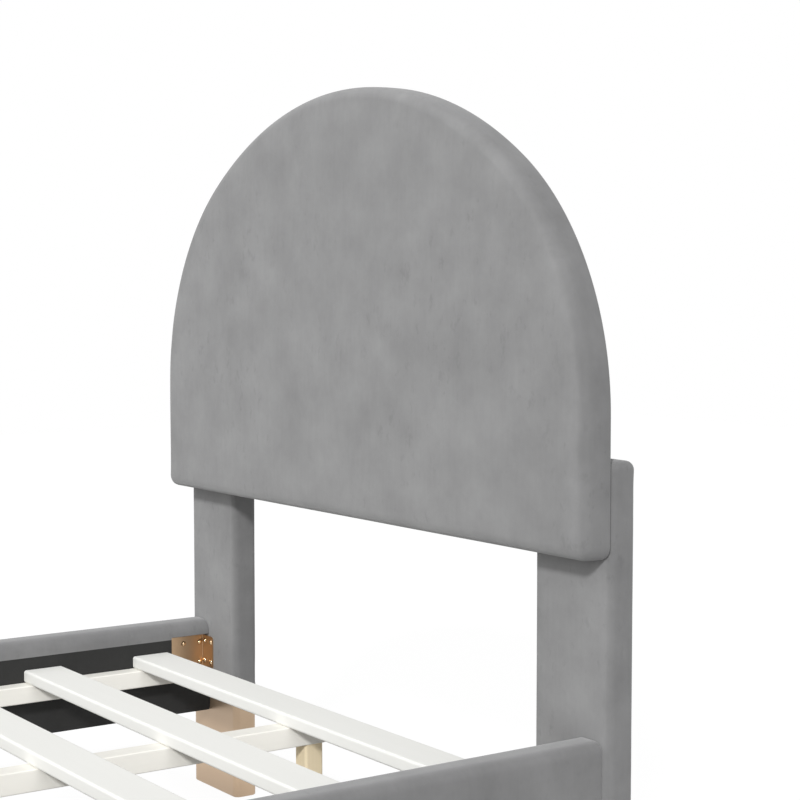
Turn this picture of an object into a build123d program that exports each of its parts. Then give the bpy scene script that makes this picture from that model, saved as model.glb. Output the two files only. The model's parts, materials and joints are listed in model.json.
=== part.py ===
from build123d import *
import os
from math import cos, radians, sin

# Upholstered platform bed with an arched headboard, for a mattress about 965 by 1905 mm.
# Millimetres. X runs across the bed, +Y points to the head, Z stands up from the floor.
# The origin is on the floor, at the middle of the bed's length and width.

# Well for the mattress, between the rails and between the head posts and the foot board
clear_width = 972.0
clear_length = 1930.0
well_depth = 45.8

# Velvet cover, the run by which a cut passes a face, and the flat left beside a rounding
cover_t = 1.5
overrun = 5.0
edge_flat = 0.5

# Side rails and foot board, which share one height and one rounded top
rail_t = 52.0
rail_bottom = 136.5
rail_height = 155.5
rail_top_radius = 15.5
rail_end_radius = 3.0
rail_pad_t = 5.0
pad_start = 9.0
flap_drop = 26.0
foot_lining_gap = 9.0

# Head posts: they stand out past the rails, and lap the headboard
post_width = 151.0
post_depth = 43.5
post_overhang = 11.0
post_lap = 125.5
post_corner_radius = 11.5
post_top_radius = 18.0
post_pad_t = 4.5
post_top_pad_t = 12.5
post_core_radius = 6.0

# Legs: a coated steel sleeve over the timber
head_leg_rise = 29.0
leg_inset = 0.5
sleeve_t = 2.0
sleeve_gap = 0.3
sleeve_foot_radius = 2.0
dowel_radius = 5.0
dowel_length = 60.0
dowel_offset = 40.0

# Headboard panel: square lower corners, and two shoulder arcs that run into one wide top arc
panel_overhang = 2.0
panel_bottom = 524.2
panel_side_height = 178.8
panel_arch_rise = 453.4
shoulder_turn = 54.95
panel_t = 46.5
panel_front_radius = 17.0
panel_back_radius = 3.0
panel_corner_radius = 15.0
board_t = 15.0
back_flap = 30.0
back_lining_t = 1.0
back_lining_margin = 10.0

# Bolts from the back of each post into the headboard
panel_bolt_radius = 4.0
panel_bolt_head_radius = 8.0
panel_bolt_head_t = 5.0
panel_bolt_recess = 12.0
panel_bolt_rise = 39.0
panel_bolt_top_margin = 37.0
panel_bolt_count = 2
panel_bolt_room = 1.0
bolt_clearance = 0.3
nut_barrel_radius = 5.5
nut_flange_radius = 11.0
nut_flange_t = 1.5
nut_seat_gap = 1.0

# Corner brackets and their domed bolts
bracket_t = 3.0
bracket_height = 59.1
bracket_drop = 1.1
bracket_rail_leaf = 70.0
bracket_post_leaf = 37.6
bracket_corner_radius = 6.0
bracket_bend_radius = 1.0
bracket_recess = 23.0
bracket_gap = 1.0
bracket_pocket_gap = 4.0
bracket_pocket_rise = 5.0
dome_radius = 4.5
dome_height = 3.0
bracket_bolt_radius = 2.5
bracket_bolt_end_gap = 4.5
bracket_row_edge = 12.5
bracket_row_count = 2
bracket_column_count = 2
post_row_lift = 2.6
rail_column_edge = 6.3
rail_column_margin = 29.4
post_column_edge = 8.8
post_column_margin = 7.0

# Slats
slat_count = 10
slat_width = 67.1
slat_t = 19.8
first_slat_gap = 80.3
last_slat_gap = 31.0
slat_end_gap = 1.0
slat_edge_radius = 4.0

# Ledgers along the rails, and their screws
ledger_width = 28.5
ledger_height = 28.4
ledger_head_gap = 76.5
ledger_foot_gap = 24.0
ledger_edge_radius = 2.0
ledger_screw_count = 6
ledger_screw_margin = 60.0

# Centre beam and its legs
beam_width = 34.4
beam_height = 30.4
beam_head_gap = 83.5
beam_foot_gap = 24.0
beam_edge_radius = 2.0
centre_leg_side = 30.5
centre_leg_chamfer = 3.0
centre_leg_inset = 1.75

# Countersunk wood screws
screw_head_radius = 4.5
screw_radius = 2.25
screw_head_t = 2.5
screw_length = 45.0
screw_tip = 4.0

# Places across the bed and along it
half_clear = clear_width / 2
bed_width = clear_width + 2 * (rail_t + post_overhang)
post_face_y = clear_length / 2
half_length = post_face_y + post_depth
post_x = (bed_width - post_width) / 2
post_y = post_face_y + post_depth / 2
rail_x = half_clear + rail_t / 2

# Heights
rail_top = rail_bottom + rail_height
flap_low = rail_top - flap_drop
slat_top = rail_top - well_depth
slat_bottom = slat_top - slat_t
leg_height = rail_bottom + head_leg_rise
post_top = panel_bottom + post_lap
shoulder_height = panel_bottom + panel_side_height
panel_top = shoulder_height + panel_arch_rise

# Sleeves
sleeve_width = post_width - 2 * leg_inset
sleeve_depth = post_depth - 2 * leg_inset
sleeve_radius = post_corner_radius - leg_inset
sleeve_room = sleeve_t + sleeve_gap

# Headboard: depth of its layers, and the radii that make its arcs tangent
panel_width = bed_width + 2 * panel_overhang
panel_back_y = post_face_y - back_lining_t
panel_front_y = post_face_y - panel_t
board_front_y = panel_back_y - cover_t - board_t
turn_cos = cos(radians(shoulder_turn))
turn_sin = sin(radians(shoulder_turn))
crown_radius = (
    panel_arch_rise * (1 - turn_cos) - panel_width / 2 * turn_sin
) / (1 - turn_sin - turn_cos)
shoulder_radius = (panel_width / 2 - crown_radius * turn_cos) / (1 - turn_cos)
panel_bolt_pitch = (post_lap - panel_bolt_rise - panel_bolt_top_margin) / (panel_bolt_count - 1)

# Brackets
bracket_x = half_clear + bracket_recess
bracket_low = flap_low - bracket_drop - bracket_height
bracket_row_pitch = (bracket_height - 2 * bracket_row_edge) / (bracket_row_count - 1)
rail_columns_span = bracket_rail_leaf - bracket_t - rail_column_edge - rail_column_margin
post_columns_span = bracket_post_leaf - post_column_edge - post_column_margin
bracket_bolt_length = rail_t - cover_t - rail_pad_t - bracket_recess + bracket_t - bracket_bolt_end_gap

# Slats, and the middles of the ledgers and the centre beam, which start further from the head
ledger_y = (ledger_foot_gap - ledger_head_gap) / 2
beam_y = (beam_foot_gap - beam_head_gap) / 2
slat_pitch = (clear_length - first_slat_gap - last_slat_gap - slat_width) / (slat_count - 1)

sides = {"left": -1, "right": 1}
ends = {"head": 1, "foot": -1}
upward = (Align.CENTER, Align.CENTER, Align.MIN)
downward = (Align.CENTER, Align.CENTER, Align.MAX)

os.makedirs("parts", exist_ok=True)


def bar_top_radius(depth, inset):
    """Rounding along the top of a padded bar, drawn in by inset."""
    return min(rail_top_radius, depth / 2 - edge_flat) - inset


def padded_bar(length, depth, inset, end_radius):
    """Upholstered bar along Y with a rounded top, drawn in by inset all round."""
    with BuildPart() as bar:
        with BuildSketch(Plane.XZ) as section:
            with Locations((0, (rail_bottom + rail_top) / 2)):
                Rectangle(depth - 2 * inset, rail_height - 2 * inset)
            fillet(section.vertices().group_by(Axis.Y)[-1], bar_top_radius(depth, inset))
        extrude(amount=length / 2 - inset, both=True)
        end_faces = [bar.faces().sort_by(Axis.Y)[0], bar.faces().sort_by(Axis.Y)[-1]]
        for end_face in end_faces:
            fillet(end_face.edges().sort_by(Axis.Z)[1:], end_radius - inset)
    return bar.part


def bar_timber_room(length, depth):
    """Space that the timber of a padded bar takes, left open where no padding lies."""
    padding = cover_t + rail_pad_t
    with BuildPart() as room:
        with BuildSketch(Plane.XZ) as section:
            with Locations((-depth / 2, 0)):
                Rectangle(depth - padding, rail_top - padding, align=(Align.MIN, Align.MIN))
            outer_top = section.vertices().sort_by(Axis.Y)[-2:].sort_by(Axis.X)[-1]
            fillet(outer_top, bar_top_radius(depth, padding))
            with Locations((-depth / 2, 0)):
                Rectangle(pad_start, rail_top, align=(Align.MIN, Align.MIN))
        extrude(amount=length / 2, both=True)
    return room.part


def bar_lining_window(length, depth, margin):
    """Strip of the inner face, below the velvet flap, that the black lining closes."""
    with BuildPart() as window:
        with Locations((-depth / 2, 0, rail_bottom + cover_t)):
            Box(
                cover_t,
                length - 2 * margin,
                flap_low - rail_bottom - cover_t,
                align=(Align.MIN, Align.CENTER, Align.MIN),
            )
    return window.part


def padded_post(inset):
    """Upholstered stretch of a head post about the Z axis, drawn in by inset."""
    height = post_top - inset - leg_height
    radius = min(post_top_radius, post_depth / 2 - edge_flat) - inset
    with BuildPart() as post:
        with BuildSketch(Plane.YZ) as profile:
            with Locations((0, leg_height + height / 2)):
                Rectangle(post_depth - 2 * inset, height)
            fillet(profile.vertices().group_by(Axis.Y)[-1], radius)
        extrude(amount=post_width / 2 - inset, both=True)
        end_faces = [post.faces().sort_by(Axis.X)[0], post.faces().sort_by(Axis.X)[-1]]
        for end_face in end_faces:
            fillet(end_face.edges().sort_by(Axis.Z)[1:], post_corner_radius - inset)
    return post.part


def leg_sleeve(height):
    """Steel sleeve with a closed foot, about the Z axis, standing on the floor."""
    with BuildPart() as sleeve:
        with BuildSketch():
            RectangleRounded(sleeve_width, sleeve_depth, sleeve_radius)
        extrude(amount=height)
        fillet(sleeve.faces().sort_by(Axis.Z)[0].edges(), sleeve_foot_radius)
        with BuildSketch(Plane.XY.offset(sleeve_t)):
            RectangleRounded(
                sleeve_width - 2 * sleeve_t,
                sleeve_depth - 2 * sleeve_t,
                sleeve_radius - sleeve_t,
            )
        extrude(amount=height, mode=Mode.SUBTRACT)
    return sleeve.part


def leg_timber(height):
    """Timber that fills a leg sleeve up to the given height, about the Z axis."""
    with BuildPart() as timber:
        with BuildSketch(Plane.XY.offset(sleeve_t)):
            RectangleRounded(
                sleeve_width - 2 * sleeve_room,
                sleeve_depth - 2 * sleeve_room,
                sleeve_radius - sleeve_room,
            )
        extrude(amount=height - sleeve_t)
    return timber.part


def arch_face(inset, y):
    """Headboard outline at depth y, drawn in by inset: shoulder arcs tangent to the top arc."""
    half = panel_width / 2 - inset
    low = panel_bottom + inset
    shoulder_x = panel_width / 2 - shoulder_radius
    crown_z = panel_top - crown_radius
    crown_turn = 180 - 2 * shoulder_turn
    with BuildSketch(Plane.XZ.offset(-y)) as face:
        with BuildLine():
            Line((-half, low), (half, low))
            Line((half, low), (half, shoulder_height))
            CenterArc((shoulder_x, shoulder_height), shoulder_radius - inset, 0, shoulder_turn)
            CenterArc((0, crown_z), crown_radius - inset, shoulder_turn, crown_turn)
            CenterArc(
                (-shoulder_x, shoulder_height),
                shoulder_radius - inset,
                180 - shoulder_turn,
                shoulder_turn,
            )
            Line((-half, shoulder_height), (-half, low))
        make_face()
        corner = max(panel_corner_radius - inset, cover_t)
        fillet(face.vertices().group_by(Axis.Y)[0], corner)
    return face.sketch


def padded_panel(inset):
    """Upholstered headboard panel with rounded rims, drawn in by inset all round."""
    with BuildPart() as panel:
        extrude(arch_face(inset, panel_back_y - inset), amount=panel_back_y - panel_front_y - 2 * inset)
        fillet(panel.faces().sort_by(Axis.Y)[0].edges(), panel_front_radius - inset)
        fillet(panel.faces().sort_by(Axis.Y)[-1].edges(), panel_back_radius - inset)
    return panel.part


def domed_bolt(length):
    """Domed bolt whose head sits on Z zero, with its shank down the Z axis."""
    dome_arc = (dome_radius**2 + dome_height**2) / (2 * dome_height)
    with BuildPart() as bolt:
        with BuildSketch(Plane.XZ):
            with BuildLine():
                RadiusArc((dome_radius, 0), (0, dome_height), -dome_arc)
                Polyline(
                    (0, dome_height),
                    (0, -length),
                    (bracket_bolt_radius, -length),
                    (bracket_bolt_radius, 0),
                    (dome_radius, 0),
                )
            make_face()
        revolve(axis=Axis.Z)
    return bolt.part


def wood_screw(length):
    """Countersunk screw with its head flush on Z zero and its tip down the Z axis."""
    with BuildPart() as screw:
        with BuildSketch(Plane.XZ):
            with BuildLine():
                Polyline(
                    (0, 0),
                    (0, -length),
                    (screw_radius, screw_tip - length),
                    (screw_radius, -screw_head_t),
                    (screw_head_radius, 0),
                    close=True,
                )
            make_face()
        revolve(axis=Axis.Z)
    return screw.part


def bolt_rows(lift):
    """Heights of the bolt rows on a bracket leaf, lifted above the middle of its height."""
    top = bracket_low + bracket_height - bracket_row_edge + lift
    return [top - row * bracket_row_pitch for row in range(bracket_row_count)]


def rail_leaf_places(side, end):
    """Bolt seats on the leaf that lies along the rail, heads towards the mattress."""
    x = side * (bracket_x - bracket_t)
    first = post_face_y - bracket_t - rail_column_edge
    pitch = rail_columns_span / (bracket_column_count - 1)
    columns = [end * (first - column * pitch) for column in range(bracket_column_count)]
    return [Location((x, y, z), (0, -90 * side, 0)) for y in columns for z in bolt_rows(0)]


def post_leaf_places(side, end):
    """Bolt seats on the leaf that lies on the post or foot board."""
    y = end * (post_face_y - bracket_t)
    first = bracket_x - post_column_edge
    pitch = post_columns_span / (bracket_column_count - 1)
    columns = [side * (first - column * pitch) for column in range(bracket_column_count)]
    rows = bolt_rows(post_row_lift)
    return [Location((x, y, z), (90 * end, 0, 0)) for x in columns for z in rows]


def ledger_screw_places(side):
    """Screw seats along the inner face of one ledger, heads towards the mattress."""
    x = side * (half_clear - ledger_width)
    z = slat_bottom - ledger_height / 2
    span = clear_length - 2 * (ledger_head_gap + ledger_screw_margin)
    pitch = span / (ledger_screw_count - 1)
    return [
        Location((x, number * pitch - span / 2, z), (0, -90 * side, 0))
        for number in range(ledger_screw_count)
    ]


def panel_bolt_places(side):
    """Seats of the bolts that hold the headboard on one post, heads to the back."""
    y = half_length - panel_bolt_recess
    lowest = panel_bottom + panel_bolt_rise
    heights = [lowest + number * panel_bolt_pitch for number in range(panel_bolt_count)]
    return [Location((side * post_x, y, z), (-90, 0, 0)) for z in heights]


def panel_bolt_holes(side):
    """Counterbored ways for one post's headboard bolts."""
    with BuildPart() as holes:
        with Locations(*panel_bolt_places(side)):
            Cylinder(panel_bolt_radius + bolt_clearance, panel_t + post_depth, align=downward)
            Cylinder(
                panel_bolt_head_radius + panel_bolt_room,
                panel_bolt_recess + overrun,
                align=upward,
            )
    return holes.part


def bracket_holes(places):
    """Ways for the shanks of a bracket's bolts, from their seats inwards."""
    with BuildPart() as holes:
        with Locations(*places):
            Cylinder(bracket_bolt_radius, bracket_bolt_length + bracket_gap, align=downward)
    return holes.part


centre_leg_ends = post_face_y - beam_head_gap - centre_leg_side / 2 - centre_leg_inset
centre_leg_y = {"head": centre_leg_ends, "middle": 0.0, "foot": -centre_leg_ends}
beam_screw_places = [Location((0, y, slat_bottom)) for y in centre_leg_y.values()]
ledger_screw = wood_screw(screw_length)

# Headboard: velvet cover over a foam pad on a board, with a lining across the back
panel_filling = padded_panel(cover_t)
panel_holes = panel_bolt_holes(sides["left"]) + panel_bolt_holes(sides["right"])
panel_nut_places = [
    Location((place.position.X, board_front_y, place.position.Z), (-90, 0, 0))
    for side in sides.values()
    for place in panel_bolt_places(side)
]

with BuildPart() as tee_nuts:
    with Locations(*panel_nut_places):
        Cylinder(nut_flange_radius, nut_flange_t, align=upward)
        Cylinder(nut_barrel_radius, board_t - nut_seat_gap, align=upward)
        Cylinder(panel_bolt_radius, board_t, align=upward, mode=Mode.SUBTRACT)
tee_nuts.part.label = "headboard_tee_nuts"
export_step(tee_nuts.part, "parts/headboard_tee_nuts.step")

with BuildPart() as headboard_board:
    add(panel_filling)
    split(bisect_by=Plane.XZ.offset(-board_front_y), keep=Keep.BOTTOM)
    add(panel_holes, mode=Mode.SUBTRACT)
    with Locations(*panel_nut_places):
        Cylinder(nut_flange_radius, nut_flange_t, align=upward, mode=Mode.SUBTRACT)
        Cylinder(nut_barrel_radius, board_t, align=upward, mode=Mode.SUBTRACT)
headboard_board.part.label = "headboard_board"
export_step(headboard_board.part, "parts/headboard_board.step")

with BuildPart() as headboard_foam:
    add(panel_filling)
    split(bisect_by=Plane.XZ.offset(-board_front_y), keep=Keep.TOP)
headboard_foam.part.label = "headboard_foam"
export_step(headboard_foam.part, "parts/headboard_foam.step")

with BuildPart() as headboard_cover:
    add(padded_panel(0))
    add(panel_filling, mode=Mode.SUBTRACT)
    back_window = arch_face(back_flap, panel_back_y + overrun)
    extrude(back_window, amount=overrun + cover_t + overrun, mode=Mode.SUBTRACT)
headboard_cover.part.label = "headboard_cover"
export_step(headboard_cover.part, "parts/headboard_cover.step")

with BuildPart() as headboard_lining:
    extrude(arch_face(back_lining_margin, post_face_y), amount=back_lining_t)
    add(panel_holes, mode=Mode.SUBTRACT)
headboard_lining.part.label = "headboard_lining"
export_step(headboard_lining.part, "parts/headboard_lining.step")

with BuildPart() as headboard_bolts:
    for side in sides.values():
        with Locations(*panel_bolt_places(side)):
            Cylinder(panel_bolt_head_radius, panel_bolt_head_t, align=upward)
            Cylinder(
                panel_bolt_radius,
                half_length - panel_bolt_recess - board_front_y - nut_flange_t,
                align=downward,
            )
headboard_bolts.part.label = "headboard_bolts"
export_step(headboard_bolts.part, "parts/headboard_bolts.step")

# Head posts: shouldered timber, foam, velvet cover, and the sleeve round the leg
for name, side in sides.items():
    seat = Location((side * post_x, post_y, 0))
    bolt_ways = panel_bolt_holes(side)
    bracket_ways = bracket_holes(post_leaf_places(side, ends["head"]))
    post_filling = padded_post(cover_t)

    with BuildPart() as post_core:
        with Locations(seat):
            add(leg_timber(leg_height))
        with BuildSketch(Plane.XY.offset(leg_height)):
            with Locations((side * post_x, post_y)):
                RectangleRounded(
                    post_width - 2 * (cover_t + post_pad_t),
                    post_depth - 2 * (cover_t + post_pad_t),
                    post_core_radius,
                )
        extrude(amount=post_top - cover_t - post_top_pad_t - leg_height)
        add(bolt_ways, mode=Mode.SUBTRACT)
        add(bracket_ways, mode=Mode.SUBTRACT)
    post_core.part.label = f"post_core_{name}"
    export_step(post_core.part, f"parts/post_core_{name}.step")

    with BuildPart() as post_foam:
        with Locations(seat):
            add(post_filling)
        add(post_core.part, mode=Mode.SUBTRACT)
        add(bolt_ways, mode=Mode.SUBTRACT)
        add(bracket_ways, mode=Mode.SUBTRACT)
    post_foam.part.label = f"post_foam_{name}"
    export_step(post_foam.part, f"parts/post_foam_{name}.step")

    with BuildPart() as post_cover:
        with Locations(seat):
            add(padded_post(0))
            add(post_filling, mode=Mode.SUBTRACT)
        add(bolt_ways, mode=Mode.SUBTRACT)
        add(bracket_ways, mode=Mode.SUBTRACT)
    post_cover.part.label = f"post_cover_{name}"
    export_step(post_cover.part, f"parts/post_cover_{name}.step")

    with BuildPart() as head_leg_sleeve:
        with Locations(seat):
            add(leg_sleeve(leg_height))
    head_leg_sleeve.part.label = f"head_leg_sleeve_{name}"
    export_step(head_leg_sleeve.part, f"parts/head_leg_sleeve_{name}.step")

# Side rails: board, foam, velvet over the outside and top, lining down the inside
rail_filling = padded_bar(clear_length, rail_t, cover_t, rail_end_radius)
rail_timber_room = bar_timber_room(clear_length, rail_t)
rail_window = bar_lining_window(clear_length, rail_t, cover_t)
bracket_pocket_low = bracket_low - bracket_pocket_rise
bracket_pocket_top = bracket_low + bracket_height + bracket_pocket_rise

with BuildPart() as bracket_pockets:
    with Locations(
        *[(-rail_t / 2 - overrun, end * post_face_y, bracket_pocket_low) for end in ends.values()]
    ):
        Box(
            bracket_recess + overrun,
            2 * (bracket_rail_leaf + bracket_pocket_gap),
            bracket_pocket_top - bracket_pocket_low,
            align=(Align.MIN, Align.CENTER, Align.MIN),
        )

for name, side in sides.items():
    seat = Location((side * rail_x, 0, 0), (0, 0, 90 - 90 * side))
    rail_ways = bracket_holes(
        [place for end in ends.values() for place in rail_leaf_places(side, end)]
    )

    with BuildPart() as rail_core:
        with Locations(seat):
            add(rail_filling)
            add(rail_timber_room, mode=Mode.INTERSECT)
            add(rail_window, mode=Mode.SUBTRACT)
            add(bracket_pockets.part, mode=Mode.SUBTRACT)
        add(rail_ways, mode=Mode.SUBTRACT)
        with Locations(*ledger_screw_places(side)):
            add(ledger_screw, mode=Mode.SUBTRACT)
    rail_core.part.label = f"side_rail_core_{name}"
    export_step(rail_core.part, f"parts/side_rail_core_{name}.step")

    with BuildPart() as rail_foam:
        with Locations(seat):
            add(rail_filling)
            add(rail_timber_room, mode=Mode.SUBTRACT)
    rail_foam.part.label = f"side_rail_foam_{name}"
    export_step(rail_foam.part, f"parts/side_rail_foam_{name}.step")

    with BuildPart() as rail_cover:
        with Locations(seat):
            add(padded_bar(clear_length, rail_t, 0, rail_end_radius))
            add(rail_filling, mode=Mode.SUBTRACT)
            add(rail_window, mode=Mode.SUBTRACT)
            add(bracket_pockets.part, mode=Mode.SUBTRACT)
    rail_cover.part.label = f"side_rail_cover_{name}"
    export_step(rail_cover.part, f"parts/side_rail_cover_{name}.step")

    with BuildPart() as rail_lining:
        with Locations(seat):
            add(rail_window)
            add(bracket_pockets.part, mode=Mode.SUBTRACT)
        with Locations(*ledger_screw_places(side)):
            add(ledger_screw, mode=Mode.SUBTRACT)
    rail_lining.part.label = f"side_rail_lining_{name}"
    export_step(rail_lining.part, f"parts/side_rail_lining_{name}.step")

# Ledgers that carry the slat ends, screwed through the lining into the rails
for name, side in sides.items():
    with BuildPart() as ledger:
        with Locations((side * (half_clear - ledger_width / 2), ledger_y, slat_bottom - ledger_height / 2)):
            Box(ledger_width, clear_length - ledger_head_gap - ledger_foot_gap, ledger_height)
        fillet(ledger.edges().filter_by(Axis.Y), ledger_edge_radius)
        with Locations(*ledger_screw_places(side)):
            add(ledger_screw, mode=Mode.SUBTRACT)
    ledger.part.label = f"ledger_{name}"
    export_step(ledger.part, f"parts/ledger_{name}.step")

with BuildPart() as ledger_screws:
    for side in sides.values():
        with Locations(*ledger_screw_places(side)):
            add(ledger_screw)
ledger_screws.part.label = "ledger_screws"
export_step(ledger_screws.part, "parts/ledger_screws.step")

# Foot board: the same padded section across the whole width, on two short legs
foot_seat = Location((0, -post_y, 0), (0, 0, -90))
foot_filling = padded_bar(bed_width, post_depth, cover_t, post_corner_radius)
foot_lining_margin = bed_width / 2 - bracket_x + bracket_post_leaf + foot_lining_gap
foot_window = bar_lining_window(bed_width, post_depth, foot_lining_margin)
foot_ways = bracket_holes(
    [place for side in sides.values() for place in post_leaf_places(side, ends["foot"])]
)
dowel_places = [
    Location((side * post_x + offset, -post_y, rail_bottom))
    for side in sides.values()
    for offset in (-dowel_offset, dowel_offset)
]

with BuildPart() as foot_leg_dowels:
    with Locations(*dowel_places):
        Cylinder(dowel_radius, dowel_length)
foot_leg_dowels.part.label = "foot_leg_dowels"
export_step(foot_leg_dowels.part, "parts/foot_leg_dowels.step")

with BuildPart() as foot_core:
    with Locations(foot_seat):
        add(foot_filling)
        add(bar_timber_room(bed_width, post_depth), mode=Mode.INTERSECT)
        add(foot_window, mode=Mode.SUBTRACT)
    add(foot_ways, mode=Mode.SUBTRACT)
    add(foot_leg_dowels.part, mode=Mode.SUBTRACT)
foot_core.part.label = "foot_board_core"
export_step(foot_core.part, "parts/foot_board_core.step")

with BuildPart() as foot_foam:
    with Locations(foot_seat):
        add(foot_filling)
        add(bar_timber_room(bed_width, post_depth), mode=Mode.SUBTRACT)
foot_foam.part.label = "foot_board_foam"
export_step(foot_foam.part, "parts/foot_board_foam.step")

with BuildPart() as foot_cover:
    with Locations(foot_seat):
        add(padded_bar(bed_width, post_depth, 0, post_corner_radius))
        add(foot_filling, mode=Mode.SUBTRACT)
        add(foot_window, mode=Mode.SUBTRACT)
    add(foot_ways, mode=Mode.SUBTRACT)
    add(foot_leg_dowels.part, mode=Mode.SUBTRACT)
foot_cover.part.label = "foot_board_cover"
export_step(foot_cover.part, "parts/foot_board_cover.step")

with BuildPart() as foot_lining:
    with Locations(foot_seat):
        add(foot_window)
foot_lining.part.label = "foot_board_lining"
export_step(foot_lining.part, "parts/foot_board_lining.step")

for name, side in sides.items():
    seat = Location((side * post_x, -post_y, 0))

    with BuildPart() as foot_leg_block:
        with Locations(seat):
            add(leg_timber(rail_bottom))
        add(foot_leg_dowels.part, mode=Mode.SUBTRACT)
    foot_leg_block.part.label = f"foot_leg_block_{name}"
    export_step(foot_leg_block.part, f"parts/foot_leg_block_{name}.step")

    with BuildPart() as foot_leg_sleeve:
        with Locations(seat):
            add(leg_sleeve(rail_bottom))
    foot_leg_sleeve.part.label = f"foot_leg_sleeve_{name}"
    export_step(foot_leg_sleeve.part, f"parts/foot_leg_sleeve_{name}.step")

# Corner brackets: folded plates, one leaf on the rail and one on the post or foot board
for end_name, end in ends.items():
    for name, side in sides.items():
        with BuildPart() as bracket:
            with BuildSketch(Plane.XY.offset(bracket_low)):
                with BuildLine():
                    Polyline(
                        (side * bracket_x, end * post_face_y),
                        (side * bracket_x, end * (post_face_y - bracket_rail_leaf)),
                        (side * (bracket_x - bracket_t), end * (post_face_y - bracket_rail_leaf)),
                        (side * (bracket_x - bracket_t), end * (post_face_y - bracket_t)),
                        (side * (bracket_x - bracket_post_leaf), end * (post_face_y - bracket_t)),
                        (side * (bracket_x - bracket_post_leaf), end * post_face_y),
                        close=True,
                    )
                make_face()
            extrude(amount=bracket_height)
            inner_corner = (side * (bracket_x - bracket_t), end * (post_face_y - bracket_t))
            inner_bend = bracket.edges().filter_by(Axis.Z).sort_by_distance(inner_corner)
            fillet(inner_bend[0], bracket_bend_radius)
            outer_corner = (side * bracket_x, end * post_face_y)
            outer_bend = bracket.edges().filter_by(Axis.Z).sort_by_distance(outer_corner)
            fillet(outer_bend[0], bracket_bend_radius + bracket_t)
            fillet(
                bracket.edges().filter_by(Axis.X).filter_by_position(
                    Axis.Y,
                    min(end * (post_face_y - bracket_rail_leaf), 0),
                    max(end * (post_face_y - bracket_rail_leaf), 0),
                ),
                bracket_corner_radius,
            )
            fillet(
                bracket.edges().filter_by(Axis.Y).filter_by(
                    lambda edge: edge.length < bracket_t + cover_t
                    and abs(edge.center().X) < bracket_x - bracket_t - bracket_corner_radius
                ),
                bracket_corner_radius,
            )
            add(bracket_holes(rail_leaf_places(side, end)), mode=Mode.SUBTRACT)
            add(bracket_holes(post_leaf_places(side, end)), mode=Mode.SUBTRACT)
        bracket.part.label = f"{end_name}_bracket_{name}"
        export_step(bracket.part, f"parts/{end_name}_bracket_{name}.step")

bracket_bolt = domed_bolt(bracket_bolt_length)

with BuildPart() as bracket_bolts:
    for end in ends.values():
        for side in sides.values():
            with Locations(*rail_leaf_places(side, end), *post_leaf_places(side, end)):
                add(bracket_bolt)
bracket_bolts.part.label = "bracket_bolts"
export_step(bracket_bolts.part, "parts/bracket_bolts.step")

# Centre beam under the slats, on three timber legs
with BuildPart() as centre_beam:
    with Locations((0, beam_y, slat_bottom - beam_height / 2)):
        Box(beam_width, clear_length - beam_head_gap - beam_foot_gap, beam_height)
    fillet(centre_beam.edges().filter_by(Axis.Y), beam_edge_radius)
    with Locations(*beam_screw_places):
        add(ledger_screw, mode=Mode.SUBTRACT)
centre_beam.part.label = "centre_beam"
export_step(centre_beam.part, "parts/centre_beam.step")

for name, y in centre_leg_y.items():
    with BuildPart() as centre_leg:
        with Locations((0, y, 0)):
            Box(
                centre_leg_side,
                centre_leg_side,
                slat_bottom - beam_height,
                align=upward,
            )
        chamfer(centre_leg.edges().filter_by(Axis.Z), centre_leg_chamfer)
        with Locations(*beam_screw_places):
            add(ledger_screw, mode=Mode.SUBTRACT)
    centre_leg.part.label = f"centre_leg_{name}"
    export_step(centre_leg.part, f"parts/centre_leg_{name}.step")

with BuildPart() as centre_leg_screws:
    with Locations(*beam_screw_places):
        add(ledger_screw)
centre_leg_screws.part.label = "centre_leg_screws"
export_step(centre_leg_screws.part, "parts/centre_leg_screws.step")

# Slats, numbered from the head
for number in range(slat_count):
    slat_y = post_face_y - first_slat_gap - slat_width / 2 - number * slat_pitch
    with BuildPart() as slat:
        with Locations((0, slat_y, slat_bottom + slat_t / 2)):
            Box(clear_width - 2 * slat_end_gap, slat_width, slat_t)
        fillet(slat.edges().filter_by(Axis.X), slat_edge_radius)
    slat.part.label = f"slat_{number + 1:02d}"
    export_step(slat.part, f"parts/slat_{number + 1:02d}.step")
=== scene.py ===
"""Looks of an upholstered platform bed with an arched headboard.

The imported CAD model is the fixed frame. Its rigid nodes keep their shape and get a finish. Its soft
nodes are replaced by padded pieces in velvet, made here and pressed outwards a little by a cloth simulation.
Lengths are metres: X across the bed, +Y to the head, Z up from the floor.
"""

import json
import logging
import math
from collections.abc import Callable, Iterator, Sequence
from contextlib import contextmanager
from dataclasses import dataclass
from enum import Enum

import bmesh
import bpy
import numpy as np
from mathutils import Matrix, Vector, noise

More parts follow.
